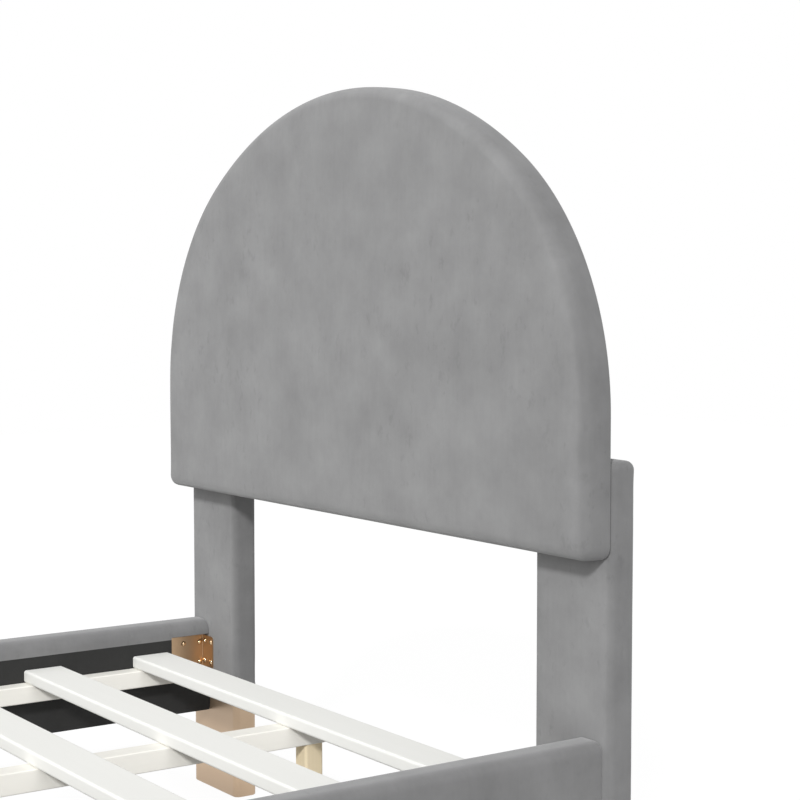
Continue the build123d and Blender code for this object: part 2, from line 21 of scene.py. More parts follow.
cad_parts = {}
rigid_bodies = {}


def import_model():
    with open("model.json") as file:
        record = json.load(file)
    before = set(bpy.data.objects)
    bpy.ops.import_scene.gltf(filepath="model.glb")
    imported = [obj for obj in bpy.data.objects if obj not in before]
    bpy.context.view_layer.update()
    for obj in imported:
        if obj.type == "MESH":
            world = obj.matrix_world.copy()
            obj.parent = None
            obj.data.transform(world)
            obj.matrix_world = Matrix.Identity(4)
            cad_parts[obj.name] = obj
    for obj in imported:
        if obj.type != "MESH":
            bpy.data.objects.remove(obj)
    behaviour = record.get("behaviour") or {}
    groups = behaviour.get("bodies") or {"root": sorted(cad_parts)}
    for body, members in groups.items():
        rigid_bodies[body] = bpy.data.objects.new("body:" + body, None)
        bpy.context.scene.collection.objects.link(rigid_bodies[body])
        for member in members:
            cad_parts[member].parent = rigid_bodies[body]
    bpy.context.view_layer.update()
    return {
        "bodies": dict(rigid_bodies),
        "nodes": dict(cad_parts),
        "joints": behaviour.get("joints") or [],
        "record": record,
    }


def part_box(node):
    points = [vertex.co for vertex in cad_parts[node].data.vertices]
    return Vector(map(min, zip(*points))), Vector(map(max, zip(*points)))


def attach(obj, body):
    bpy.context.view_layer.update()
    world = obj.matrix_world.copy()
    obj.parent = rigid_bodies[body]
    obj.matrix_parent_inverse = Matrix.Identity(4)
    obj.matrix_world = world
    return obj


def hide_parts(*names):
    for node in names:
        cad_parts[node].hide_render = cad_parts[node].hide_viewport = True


LOG = logging.getLogger("bed")
BODY = "root"

# The attribute that holds painted shade on faces that look across the bed, growing as the normal turns along
# X, and the normal's X at which the painted shade is full.
PAINTED_SHADE = "nap"
PAINTED_SHADE_FULL = 0.75

# What a noise texture varies about.
MIDDLE = 0.5

# Places nearer than the first are the same, corners nearer than the second are merged, and the last
# keeps a division away from zero.
NEAR = 1e-5
MERGE = 1e-4
TINY = 1e-9

# The share of an edge's length that runs along an axis, for the edge to count as parallel to it.
PARALLEL = 0.99

Point = tuple[float, float, float]
Colour = tuple[float, float, float]
Range = tuple[float, float]
Ends = list[Vector]
Test = Callable[[Ends], bool]
Item = bpy.types.Object
Socket = bpy.types.NodeSocket
Material = bpy.types.Material


class Slot(Enum):
    """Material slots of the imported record."""

    VELVET = "velvet"
    FOAM = "foam"
    LINING = "lining"
    BOARD = "board"
    WHITE_WOOD = "white_wood"
    CREAM_WOOD = "cream_wood"
    NATURAL_WOOD = "natural_wood"
    LEG_METAL = "leg_metal"
    BRACKET_METAL = "bracket_metal"
    BOLT_METAL = "bolt_metal"
    SCREW_METAL = "screw_metal"


class Side(Enum):
    """The two sides of the bed, with the sign of X."""

    LEFT = -1
    RIGHT = 1

    @property
    def word(self) -> str:
        """The side's name, as the nodes have it."""
        return self.name.lower()


class Term:
    """A number in a node tree, on which Python's operators add Math nodes."""

    def __init__(self, graph: "Graph", socket: Socket) -> None:
        """Wraps one output socket of a node tree."""
        self.graph = graph
        self.socket = socket

    def __add__(self, other: "Term | float") -> "Term":
        """This number plus another."""
        return self.graph.math("ADD", self, other)

    def __sub__(self, other: "Term | float") -> "Term":
        """This number less another."""
        return self.graph.math("SUBTRACT", self, other)

    def __mul__(self, other: "Term | float") -> "Term":
        """This number times another."""
        return self.graph.math("MULTIPLY", self, other)

    def __radd__(self, other: float) -> "Term":
        """A plain number plus this one."""
        return self.graph.math("ADD", other, self)

    def __rsub__(self, other: float) -> "Term":
        """A plain number less this one."""
        return self.graph.math("SUBTRACT", other, self)

    def __rmul__(self, other: float) -> "Term":
        """A plain number times this one."""
        return self.graph.math("MULTIPLY", other, self)

    def stepped(self, low: float, high: float) -> "Term":
        """Zero below one number, one above another, and smooth between them."""
        values = {"Value": self, "From Min": low, "From Max": high}
        return self.graph.term("ShaderNodeMapRange", {"interpolation_type": "SMOOTHSTEP"}, values)

    def clipped(self) -> "Term":
        """This number held between 0 and 1."""
        return self.graph.term("ShaderNodeClamp", {}, {"Value": self})


class Graph:
    """A node tree under construction."""

    def __init__(self, tree: bpy.types.NodeTree) -> None:
        """Takes up a tree, to which it adds nodes."""
        self.tree = tree

    def node(self, kind: str, settings: dict, values: dict) -> bpy.types.Node:
        """Adds a node of any type.

        Args:
            kind: The node's type.
            settings: Properties, set before any socket.
            values: Values or links for the inputs, by name or number.

        Returns:
            The new node.
        """
        made = self.tree.nodes.new(kind)
        for key, value in settings.items():
            setattr(made, key, value)
        for key, value in values.items():
            self.feed(made.inputs[key], value)
        return made

    def feed(self, target: Socket, value: object) -> None:
        """Sets an input to a value, or links it.

        Args:
            target: The input.
            value: A Term, an output socket, a number or a tuple.
        """
        if isinstance(value, Term):
            value = value.socket
        if isinstance(value, Socket):
            self.tree.links.new(value, target)
        elif target.type == "RGBA":
            target.default_value = (*value, 1)
        else:
            target.default_value = value

    def term(self, kind: str, settings: dict, values: dict, output: int | str = 0) -> Term:
        """Adds a node and wraps one of its outputs, which is a number."""
        return Term(self, self.node(kind, settings, values).outputs[output])

    def math(self, operation: str, a: Term | float, b: Term | float) -> Term:
        """Adds a Math node and wraps its result."""
        return self.term("ShaderNodeMath", {"operation": operation}, {0: a, 1: b})

    def mix(self, factor: Term, low: Term | float, high: Term | float) -> Term:
        """Mixes two numbers: a factor of zero gives the first, and of one the second."""
        return self.term("ShaderNodeMix", {"data_type": "FLOAT"}, {"Factor": factor, 2: low, 3: high})


@dataclass(frozen=True)
class Grain:
    """A noise pattern: repeats per metre, octaves, weight of the finer ones, and shift in metres."""

    scale: Point | float
    detail: float = 2.0
    roughness: float = 0.5
    seed: float = 0.0


class Recipe(Graph):
    """One material under construction, round a Principled shader."""

    def __init__(self, name: str) -> None:
        """Starts a material.

        Args:
            name: The material's name.
        """
        self.material = bpy.data.materials.new(name)
        self.material.use_nodes = True
        super().__init__(self.material.node_tree)
        self.shader = self.tree.nodes["Principled BSDF"]
        self.place = self.node("ShaderNodeTexCoord", {}, {}).outputs["Object"]

    def grain(self, kind: Grain, along: int = 0) -> Term:
        """Lays a grain in the object's own space.

        Args:
            kind: The grain.
            along: The axis that changes its scale with X.

        Returns:
            A number that varies about one half.
        """
        scale = list(kind.scale) if isinstance(kind.scale, tuple) else [kind.scale] * 3
        scale[0], scale[along] = scale[along], scale[0]
        values = {"Vector": self.place, "Location": (kind.seed,) * 3, "Scale": scale}
        place = self.node("ShaderNodeMapping", {}, values).outputs[0]
        values = {"Vector": place, "Scale": 1.0, "Detail": kind.detail, "Roughness": kind.roughness}
        return self.term("ShaderNodeTexNoise", {"noise_dimensions": "3D"}, values, "Fac")

    def blend(self, factor: Term, low: Colour | Socket, high: Colour | Socket) -> Socket:
        """Mixes two colours: a factor of zero gives the first, and of one the second."""
        mix = self.node("ShaderNodeMix", {"data_type": "RGBA"}, {"Factor": factor, 6: low, 7: high})
        return mix.outputs[2]

    def bump(self, height: Term, depth: float) -> Socket:
        """Turns a height from 0 to 1 into a bumped normal, of a depth in metres."""
        values = {"Height": height, "Distance": depth, "Strength": 1.0}
        return self.node("ShaderNodeBump", {}, values).outputs[0]

    def finish(self, **sockets: object) -> Material:
        """Feeds the Principled shader.

        Args:
            sockets: Values for its inputs, whose names have underscores for spaces here.

        Returns:
            The finished material.
        """
        for key, value in sockets.items():
            self.feed(self.shader.inputs[key.replace("_", " ")], value)
        return self.material


@dataclass(frozen=True)
class Velvet:
    """Short-pile velvet with soft clouds and clustered flecks, and painted shade that darkens the faces that
    look across the bed.
    """

    dark: Colour = (0.215, 0.215, 0.2165)
    light: Colour = (0.292, 0.292, 0.2935)
    mean: float = 0.56
    clouds: Grain = Grain(11.0, detail=6.0, roughness=0.62)
    cloud_contrast: float = 2.1
    streaks: Grain = Grain((160.0, 160.0, 18.0), seed=1.9)
    streak_contrast: float = 0.25
    flecks: Grain = Grain((75.0, 75.0, 45.0), detail=3.0, roughness=0.6, seed=0.7)
    fleck_step: Range = (0.56, 0.72)
    fleck_depth: float = 0.4
    clusters: Grain = Grain(4.5, seed=2.3)
    cluster_step: Range = (0.42, 0.62)
    pile: Grain = Grain(1500.0, roughness=0.6)
    pile_depth: float = 0.00006
    # How far the painted shade darkens faces that look across the bed.
    painted_shade_depth: float = 0.25
    roughness: float = 0.9
    shine: float = 0.1
    sheen: float = 0.35
    sheen_roughness: float = 0.5
    sheen_tint: Colour = (0.95, 0.95, 0.96)

    def made(self, name: str) -> Material:
        """Builds the material.

        Args:
            name: The material's name.

        Returns:
            The material.
        """
        recipe = Recipe(name)
        clouds, streaks = recipe.grain(self.clouds), recipe.grain(self.streaks)
        clusters = recipe.grain(self.clusters).stepped(*self.cluster_step)
        flecks = recipe.grain(self.flecks).stepped(*self.fleck_step)
        tone = (clouds - MIDDLE) * self.cloud_contrast + (streaks - MIDDLE) * self.streak_contrast + self.mean
        tone = (tone - flecks * clusters * self.fleck_depth).clipped()
        # Painted shade: the base colour is mixed towards black on faces that look across the bed.
        painted_shade = recipe.term("ShaderNodeAttribute", {"attribute_name": PAINTED_SHADE}, {}, "Fac") * self.painted_shade_depth
        return recipe.finish(
            Base_Color=recipe.blend(painted_shade, recipe.blend(tone, self.dark, self.light), (0, 0, 0)),
            Roughness=self.roughness,
            Sheen_Weight=self.sheen,
            Sheen_Roughness=self.sheen_roughness,
            Sheen_Tint=self.sheen_tint,
            Specular_IOR_Level=self.shine,
            Normal=recipe.bump(recipe.grain(self.pile), self.pile_depth),
        )


@dataclass(frozen=True)
class Foam:
    """Open-cell upholstery foam, hidden under the covers."""

    dark: Colour = (0.72, 0.62, 0.4)
    light: Colour = (0.86, 0.78, 0.56)
    cells: Grain = Grain(900.0, roughness=0.6)
    cell_depth: float = 0.0003
    roughness: float = 0.95

    def made(self, name: str) -> Material:
        """Builds the material.

        Args:
            name: The material's name.

        Returns:
            The material.
        """
        recipe = Recipe(name)
        cells = recipe.grain(self.cells)
        return recipe.finish(
            Base_Color=recipe.blend(cells, self.dark, self.light),
            Roughness=self.roughness,
            Normal=recipe.bump(cells, self.cell_depth),
        )


@dataclass(frozen=True)
class Lining:
    """Black non-woven lining with a fine pressed pattern."""

    dark: Colour = (0.021, 0.021, 0.0205)
    light: Colour = (0.031, 0.031, 0.0305)
    fibres: Grain = Grain(60.0, detail=4.0, roughness=0.7)
    fibre_share: float = 0.7
    dots: Grain = Grain(700.0, detail=1.0, seed=0.4)
    relief: float = 0.00015
    roughness: float = 0.8
    fibre_gloss: float = 0.1
    shine: float = 0.3

    def made(self, name: str) -> Material:
        """Builds the material.

        Args:
            name: The material's name.

        Returns:
            The material.
        """
        recipe = Recipe(name)
        fibres = recipe.grain(self.fibres)
        dots = recipe.grain(self.dots)
        tone = fibres * self.fibre_share + dots * (1 - self.fibre_share)
        return recipe.finish(
            Base_Color=recipe.blend(tone, self.dark, self.light),
            Roughness=self.roughness - fibres * self.fibre_gloss,
            Specular_IOR_Level=self.shine,
            Normal=recipe.bump(dots + fibres, self.relief),
        )


@dataclass(frozen=True)
class Timber:
    """Planed wood with grain along one axis, bare or under paint."""

    dark: Colour
    light: Colour
    along: int = 0
    contrast: float = 1.0
    roughness: float = 0.6
    roughness_drift: float = 0.12
    shine: float = 0.25
    lines: Grain = Grain((5.0, 220.0, 220.0), detail=3.0, roughness=0.6)
    line_share: float = 0.45
    bands: Grain = Grain((1.6, 26.0, 26.0), detail=3.0, seed=0.3)
    band_share: float = 0.4
    marks: Grain = Grain(14.0, detail=3.0, roughness=0.6, seed=0.9)
    mark_share: float = 0.15
    relief: float = 0.0001
    line_relief: float = 0.7

    def made(self, name: str) -> Material:
        """Builds the material.

        Args:
            name: The material's name.

        Returns:
            The material.
        """
        recipe = Recipe(name)
        lines, bands = (recipe.grain(kind, self.along) for kind in (self.lines, self.bands))
        marks = recipe.grain(self.marks)
        tone = lines * self.line_share + bands * self.band_share + marks * self.mark_share
        tone = ((tone - MIDDLE) * self.contrast + MIDDLE).clipped()
        return recipe.finish(
            Base_Color=recipe.blend(tone, self.dark, self.light),
            Roughness=self.roughness + (marks - MIDDLE) * self.roughness_drift,
            Specular_IOR_Level=self.shine,
            Normal=recipe.bump(lines * self.line_relief + bands * (1 - self.line_relief), self.relief),
        )


@dataclass(frozen=True)
class Coating:
    """Metal under a coloured coating, or bare and plated."""

    dark: Colour
    light: Colour
    roughness: float
    metallic: float = 1.0
    drift: Grain = Grain(12.0, detail=3.0, roughness=0.55)
    drift_share: float = 0.7
    specks: Grain = Grain(900.0, roughness=0.6, seed=0.5)
    relief: float = 0.00003
    roughness_drift: float = 0.1

    def made(self, name: str) -> Material:
        """Builds the material.

        Args:
            name: The material's name.

        Returns:
            The material.
        """
        recipe = Recipe(name)
        drift, specks = recipe.grain(self.drift), recipe.grain(self.specks)
        tone = (drift * self.drift_share + specks * (1 - self.drift_share)).clipped()
        return recipe.finish(
            Base_Color=recipe.blend(tone, self.dark, self.light),
            Metallic=self.metallic,
            Roughness=self.roughness + (tone - MIDDLE) * self.roughness_drift,
            Normal=recipe.bump(specks, self.relief),
        )


FINISHES = {
    Slot.VELVET: Velvet(),
    Slot.FOAM: Foam(),
    Slot.LINING: Lining(),
    Slot.BOARD: Timber((0.36, 0.23, 0.12), (0.6, 0.44, 0.26), along=2, contrast=1.4),
    Slot.WHITE_WOOD: Timber((0.855, 0.855, 0.82), (0.9, 0.9, 0.87), roughness=0.7, shine=0.06),
    Slot.CREAM_WOOD: Timber((0.85, 0.83, 0.775), (0.9, 0.885, 0.83), along=1, roughness=0.7, shine=0.12),
    Slot.NATURAL_WOOD: Timber((0.8, 0.66, 0.43), (0.94, 0.82, 0.6), along=2, contrast=1.2),
    Slot.LEG_METAL: Coating((0.58, 0.42, 0.28), (0.68, 0.505, 0.35), roughness=0.36, metallic=0.45),
    Slot.BRACKET_METAL: Coating((0.52, 0.35, 0.21), (0.62, 0.43, 0.27), roughness=0.34),
    Slot.BOLT_METAL: Coating((0.72, 0.5, 0.28), (0.85, 0.63, 0.4), roughness=0.16),
    Slot.SCREW_METAL: Coating((0.5, 0.49, 0.46), (0.64, 0.63, 0.6), roughness=0.3),
}

# Nodes that are painted over together with the wood that they are sunk in.
PAINTED_OVER = {"ledger_screws": Slot.CREAM_WOOD}


class Kind(Enum):
    """What edit mode selects."""

    CORNER = "VERT"
    EDGE = "EDGE"
    FACE = "FACE"


class Bench:
    """Edit-mode tools, each for one object at a time."""

    @staticmethod
    def alone(item: Item) -> None:
        """Makes an object the only selected one, and the active one.

        Args:
            item: The object.
        """
        bpy.ops.object.select_all(action="DESELECT")
        item.select_set(True)
        bpy.context.view_layer.objects.active = item

    @staticmethod
    @contextmanager
    def editing(item: Item) -> Iterator[None]:
        """Holds one object in edit mode.

        Args:
            item: The object.
        """
        Bench.alone(item)
        bpy.ops.object.mode_set(mode="EDIT")
        yield
        bpy.ops.object.mode_set(mode="OBJECT")

    @staticmethod
    def settle(item: Item) -> None:
        """Moves an object's place, turn and size into its mesh."""
        Bench.alone(item)
        bpy.ops.object.transform_apply(location=True, rotation=True, scale=True)

    @staticmethod
    def block(name: str, low: Sequence[float], high: Sequence[float]) -> Item:
        """Adds a block between two corners.

        Args:
            name: The object's name.
            low: Lowest corner.
            high: Highest corner.

        Returns:
            The block, with its place in its mesh.
        """
        bpy.ops.object.select_all(action="DESELECT")
        low, high = Vector(low), Vector(high)
        bpy.ops.mesh.primitive_cube_add(size=1, location=(low + high) / 2)
        item = bpy.context.object
        item.name = name
        item.scale = high - low
        Bench.settle(item)
        return item

    @staticmethod
    def pick(item: Item, kind: Kind, wanted: Test) -> int:
        """Selects corners, edges or faces by the places of their corners, in edit mode.

        Args:
            item: The object, in edit mode.
            kind: What is selected.
            wanted: A test on the corners' places.

        Returns:
            How many it selected.
        """
        bpy.ops.mesh.select_mode(type=kind.value)
        bpy.ops.mesh.select_all(action="DESELECT")
        shape = bmesh.from_edit_mesh(item.data)
        choices = {Kind.CORNER: shape.verts, Kind.EDGE: shape.edges, Kind.FACE: shape.faces}
        count = 0
        for element in choices[kind]:
            corners = [element] if kind is Kind.CORNER else element.verts
            if wanted([corner.co for corner in corners]):
                element.select_set(True)
                count += 1
        bmesh.update_edit_mesh(item.data)
        return count

    @staticmethod
    def level(ends: Ends, axis: int) -> bool:
        """Whether an edge's two ends lie at the same place along an axis."""
        return abs(ends[0][axis] - ends[1][axis]) < NEAR

    @staticmethod
    def past(axis: int, place: float, way: int = 1) -> Test:
        """A test whether all corners lie past a place along an axis."""
        return lambda corners: all((p[axis] - place) * way > 0 for p in corners)

    @staticmethod
    def round_edges(item: Item, radius: float, facets: int, wanted: Test) -> None:
        """Bevels the edges whose two ends pass a test, in edit mode."""
        if Bench.pick(item, Kind.EDGE, wanted):
            bpy.ops.mesh.bevel(offset=radius, segments=facets, affect="EDGES")

    @staticmethod
    def divide(item: Item, axis: int, least: float, cuts: int) -> None:
        """Cuts the edges that run along an axis, and the faces between them, in edit mode.

        Args:
            item: The object, in edit mode.
            axis: The axis, from 0 to 2.
            least: The shortest edge that is cut.
            cuts: How many cuts each edge gets.
        """

        def runs(ends: Ends) -> bool:
            """Whether an edge is long enough and runs along the axis."""
            span = abs(ends[0][axis] - ends[1][axis])
            return span > least and span > PARALLEL * (ends[0] - ends[1]).length

        if Bench.pick(item, Kind.EDGE, runs):
            bpy.ops.mesh.subdivide(number_cuts=cuts)

    @staticmethod
    def slice(item: Item, axis: int, cell: float) -> None:
        """Cuts an object by evenly spaced planes across an axis, in edit mode.

        Args:
            item: The object, in edit mode.
            axis: The axis, from 0 to 2.
            cell: The greatest distance between two planes.
        """
        places = [vertex.co[axis] for vertex in bmesh.from_edit_mesh(item.data).verts]
        low, high = min(places), max(places)
        count = math.ceil((high - low) / cell)
        normal = Vector((0, 0, 0))
        normal[axis] = 1
        for number in range(1, count):
            bpy.ops.mesh.select_all(action="SELECT")
            bpy.ops.mesh.bisect(plane_co=normal * (low + (high - low) * number / count), plane_no=normal)

    @staticmethod
    def apply(item: Item, kind: str, **settings: object) -> None:
        """Adds a modifier and applies it.

        Args:
            item: The object.
            kind: The modifier's type.
            settings: The modifier's properties.
        """
        Bench.alone(item)
        modifier = item.modifiers.new(kind.lower(), kind)
        for key, value in settings.items():
            setattr(modifier, key, value)
        bpy.ops.object.modifier_apply(modifier=modifier.name)

    @staticmethod
    def cut(item: Item, cutter: Item) -> None:
        """Takes one shape out of another, and deletes it."""
        Bench.apply(item, "BOOLEAN", object=cutter, operation="DIFFERENCE", solver="MANIFOLD")
        bpy.data.objects.remove(cutter, do_unlink=True)

    @staticmethod
    def smooth(item: Item, angle: float = 40.0) -> None:
        """Shades an object smooth, apart from edges sharper than an angle in degrees."""
        Bench.alone(item)
        bpy.ops.object.shade_smooth_by_angle(angle=math.radians(angle))

    @staticmethod
    def rows(source: bpy.types.bpy_prop_collection, name: str) -> np.ndarray:
        """Reads one vector for each of a mesh's vertices.

        Args:
            source: The vertices, or their normals.
            name: The vector's name in them.

        Returns:
            A row of X, Y and Z for each vertex.
        """
        flat = np.zeros(len(source) * 3, np.float32)
        source.foreach_get(name, flat)
        return flat.reshape(-1, 3)

    @staticmethod
    def points(item: Item) -> np.ndarray:
        """The places of an object's vertices, as rows."""
        return Bench.rows(item.data.vertices, "co")

    @staticmethod
    def normals(item: Item) -> np.ndarray:
        """The normals of an object's vertices, as rows."""
        return Bench.rows(item.data.vertex_normals, "vector")

    @staticmethod
    def move_points(item: Item, places: np.ndarray) -> None:
        """Gives the object's vertices new places."""
        item.data.vertices.foreach_set("co", np.ascontiguousarray(places, np.float32).ravel())
        item.data.update()


@dataclass(frozen=True)
class Stuffing:
    """How a plain form becomes a padded one."""

    lift: float = 0.0003
    pressure: float = 4.0
    quality: int = 4
    mass: float = 0.3
    stiffness: float = 20.0
    bending: float = 2.0
    cap: float = 0.001
    frames: int = 20
    ripple: float = 0.00015
    ripple_scale: float = 11.0

    def puff(self, item: Item, free: Callable[[np.ndarray], np.ndarray]) -> None:
        """Lifts a form a little, presses it outwards as cloth, by less than the cap, and ripples it.

        Args:
            item: The plain form, cut into small faces.
            free: Gives each point's freedom, from 0 where it is held to 1.
        """
        start = Bench.points(item)
        freedom = np.clip(free(start), 0, 1)[:, None]
        lifted = start + Bench.normals(item) * freedom * self.lift
        Bench.move_points(item, lifted)
        self.simulate(item, freedom[:, 0])
        moved = Bench.points(item) - lifted
        outwards = (moved * Bench.normals(item)).sum(axis=1)
        least, most = 1000 * np.percentile(outwards, (5, 95))
        LOG.info("%s: before the cap, cloth moved %.2f to %.2f mm", item.name, least, most)
        length = np.linalg.norm(moved, axis=1, keepdims=True) + TINY
        allowed = self.cap * freedom + TINY
        places = lifted + moved / length * allowed * np.tanh(length / allowed)
        waves = np.array([noise.noise(Vector(p) * self.ripple_scale) for p in start])[:, None]
        Bench.move_points(item, places + Bench.normals(item) * waves * self.ripple * freedom)

    def simulate(self, item: Item, freedom: np.ndarray) -> None:
        """Runs the cloth simulation and applies its result.

        Args:
            item: The lifted form.
            freedom: Each point's freedom, from 0 where it is held to 1.
        """
        held = item.vertex_groups.new(name="held")
        for index in np.nonzero(freedom < 1)[0]:
            held.add([int(index)], float(1 - freedom[index]), "REPLACE")
        cloth = item.modifiers.new("cloth", "CLOTH")
        settings = cloth.settings
        settings.quality = self.quality
        settings.mass = self.mass
        settings.use_pressure = True
        settings.uniform_pressure_force = self.pressure
        settings.tension_stiffness = self.stiffness
        settings.compression_stiffness = self.stiffness
        settings.bending_stiffness = self.bending
        settings.vertex_group_mass = "held"
        settings.effector_weights.gravity = 0
        cloth.point_cache.frame_start = 1
        cloth.point_cache.frame_end = self.frames
        scene = bpy.context.scene
        for frame in range(1, self.frames + 1):
            scene.frame_set(frame)
        Bench.alone(item)
        bpy.ops.object.modifier_apply(modifier=cloth.name)
        scene.frame_set(1)
        item.vertex_groups.clear()


class Dresser:
    """Gives finishes to pieces and nodes, and ties pieces to the frame."""

    def __init__(self, frame: dict) -> None:
        self.frame = frame
        self.materials = {slot: finish.made(slot.value) for slot, finish in FINISHES.items()}

    def dress_nodes(self) -> None:
        """Gives each CAD node the finish of its material slot, or, for nodes painted over, the finish of the
        wood they are sunk in.
        """
        for part in self.frame["record"]["subparts"]:
            slot = PAINTED_OVER.get(part["node"], Slot(part["material_slot"]))
            for place in self.frame["nodes"][part["node"]].material_slots:
                place.material = self.materials[slot]

    @staticmethod
    def brush(item: Item) -> None:
        """Writes the painted shade for faces that look across the bed, from how far each normal turns along
        X.

        Args:
            item: A piece in velvet.
        """
        across = np.clip(np.abs(Bench.normals(item)[:, 0]) / PAINTED_SHADE_FULL, 0, 1)
        nap = item.data.attributes.new(PAINTED_SHADE, "FLOAT", "POINT")
        nap.data.foreach_set("value", (across * across * (3 - 2 * across)).astype(np.float32))

    def dress(self, item: Item, slot: Slot, *nodes: str) -> None:
        """Finishes a new piece, rides it on the frame and lets it stand for nodes.

        Args:
            item: The piece.
            slot: Its material slot.
            nodes: CAD nodes that it stands for.
        """
        item.data.materials.clear()
        item.data.materials.append(self.materials[slot])
        # Velvet pieces get painted shade on their faces that look across the bed.
        if slot is Slot.VELVET:
            self.brush(item)
        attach(item, BODY)
        if nodes:
            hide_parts(*nodes)
        LOG.info("%s: %d faces", item.name, len(item.data.polygons))


@dataclass
class Headboard:
    """The arched panel, with its padded front and the lining across its back."""

    dresser: Dresser
    side_height: float = 0.1788
    shoulder_turn: float = math.radians(54.95)
    front_radius: float = 0.0172
    front_facets: int = 10
    back_radius: float = 0.003
    back_facets: int = 3
    corner_radius: float = 0.0175
    corner_facets: int = 5
    facet: float = 0.012
    board_depth: float = 0.019
    free_depth: float = 0.012
    lining_t: float = 0.0006
    lining_room: float = 0.0002
    lining_cell: float = 0.03
    staple_width: float = 0.01
    staple_wire: float = 0.0006
    staple_leg: float = 0.0005
    staple_cuts: int = 6
    staple_crown: float = 0.7
    staple_round: float = 0.4
    staple_facets: int = 2
    staple_inset: float = 0.008
    staple_pitch: float = 0.045
    cell: float = 0.011
    stuffing: Stuffing = Stuffing()

    def __post_init__(self) -> None:
        """Reads the panel's corners from the frame."""
        self.low, self.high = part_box("headboard_cover")
        self.lining_low, self.lining_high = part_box("headboard_lining")

    def outline(self, name: str, inset: float) -> Item:
        """Draws the arched outline as one face, at the depth of the panel's front.

        Args:
            name: The object's name.
            inset: How far the outline is drawn in all round.

        Returns:
            The object with its one face.
        """
        low, high = self.low, self.high
        half, turn = high.x, self.shoulder_turn
        shoulder_z = low.z + self.side_height
        rise = high.z - shoulder_z
        flat_sum = 1 - math.sin(turn) - math.cos(turn)
        crown = (rise * (1 - math.cos(turn)) - half * math.sin(turn)) / flat_sum
        shoulder = (half - crown * math.cos(turn)) / (1 - math.cos(turn))
        arcs = [
            ((half - shoulder, low.y, shoulder_z), shoulder, turn),
            ((0, low.y, high.z - crown), crown, math.pi - 2 * turn),
            ((shoulder - half, low.y, shoulder_z), shoulder, turn),
        ]
        bottom = low.z + inset
        middle = (bottom + shoulder_z) / 2
        bpy.ops.object.select_all(action="DESELECT")
        bpy.ops.mesh.primitive_plane_add(size=1, location=(0, low.y, middle), rotation=(math.pi / 2, 0, 0))
        item = bpy.context.object
        item.name = name
        item.scale = (2 * (half - inset), shoulder_z - bottom, 1)
        Bench.settle(item)
        with Bench.editing(item):
            bpy.ops.mesh.delete(type="ONLY_FACE")
            Bench.pick(item, Kind.EDGE, Bench.past(2, middle))
            bpy.ops.mesh.delete(type="EDGE")
            Bench.pick(item, Kind.CORNER, lambda ends: ends[0].z > middle and ends[0].x > 0)
            for centre, radius, angle in arcs:
                steps = math.ceil(radius * angle / self.facet)
                bpy.ops.mesh.spin(steps=steps, angle=angle, center=centre, axis=(0, 1, 0))
            bpy.ops.mesh.select_all(action="SELECT")
            bpy.ops.mesh.remove_doubles(threshold=MERGE)
            bpy.ops.mesh.edge_face_add()
            Bench.pick(item, Kind.CORNER, Bench.past(2, middle, -1))
            radius = max(self.corner_radius - inset, self.back_radius)
            bpy.ops.mesh.bevel(offset=radius, segments=self.corner_facets, affect="VERTICES")
        return item

    def thicken(self, item: Item) -> None:
        """Extrudes the outline to the panel's back.

        Args:
            item: The outline.
        """
        with Bench.editing(item):
            bpy.ops.mesh.select_all(action="SELECT")
            depth = self.high.y - self.low.y
            bpy.ops.mesh.extrude_region_move(TRANSFORM_OT_translate={"value": (0, depth, 0)})
            bpy.ops.mesh.select_all(action="SELECT")
            bpy.ops.mesh.normals_make_consistent(inside=False)

    def pad(self) -> None:
        """Makes the padded panel."""
        middle = (self.low.y + self.high.y) / 2
        item = self.outline("headboard_pad", 0)
        self.thicken(item)
        with Bench.editing(item):
            Bench.round_edges(item, self.back_radius, self.back_facets, Bench.past(1, middle))
            Bench.round_edges(item, self.front_radius, self.front_facets, Bench.past(1, middle, -1))
            for axis in range(3):
                Bench.slice(item, axis, self.cell)
        self.stuffing.puff(item, lambda p: (self.high.y - self.board_depth - p[:, 1]) / self.free_depth)
        Bench.smooth(item)
        self.dresser.dress(item, Slot.VELVET, "headboard_cover", "headboard_foam")

    def line(self) -> None:
        """Makes the lining that is stretched over the panel's back."""
        low, high = self.lining_low, self.lining_high
        item = self.outline("headboard_lining_cloth", self.high.x - high.x)
        with Bench.editing(item):
            bpy.ops.mesh.select_all(action="SELECT")
            bpy.ops.transform.translate(value=(0, low.y + self.lining_room - self.low.y, 0))
            for axis in (0, 2):
                Bench.slice(item, axis, self.lining_cell)
            bpy.ops.mesh.select_all(action="SELECT")
            bpy.ops.mesh.normals_make_consistent(inside=False)
        Bench.apply(item, "SOLIDIFY", thickness=self.lining_t, offset=0)
        places = Bench.points(item)
        places[:, 1] += self.lining_t / 2
        Bench.move_points(item, places)
        Bench.smooth(item)
        self.dresser.dress(item, Slot.LINING, "headboard_lining")

    def staple(self) -> Item:
        """Models one staple, with its crown along X and its legs towards the front.

        Returns:
            The staple, at the origin.
        """
        half, wire = self.staple_width / 2, self.staple_wire
        item = Bench.block("headboard_staples", (-half, 0, -wire / 2), (half, wire, wire / 2))
        with Bench.editing(item):
            Bench.divide(item, 0, half, self.staple_cuts)
            crown = half * self.staple_crown
            Bench.pick(item, Kind.FACE, lambda corners: all(p.y < NEAR and abs(p.x) > crown for p in corners))
            bpy.ops.mesh.extrude_region_move(TRANSFORM_OT_translate={"value": (0, -self.staple_leg, 0)})
            Bench.round_edges(
                item,
                wire * self.staple_round,
                self.staple_facets,
                lambda ends: all(p.y > wire - NEAR and abs(p.x) > half - NEAR for p in ends),
            )
        return item

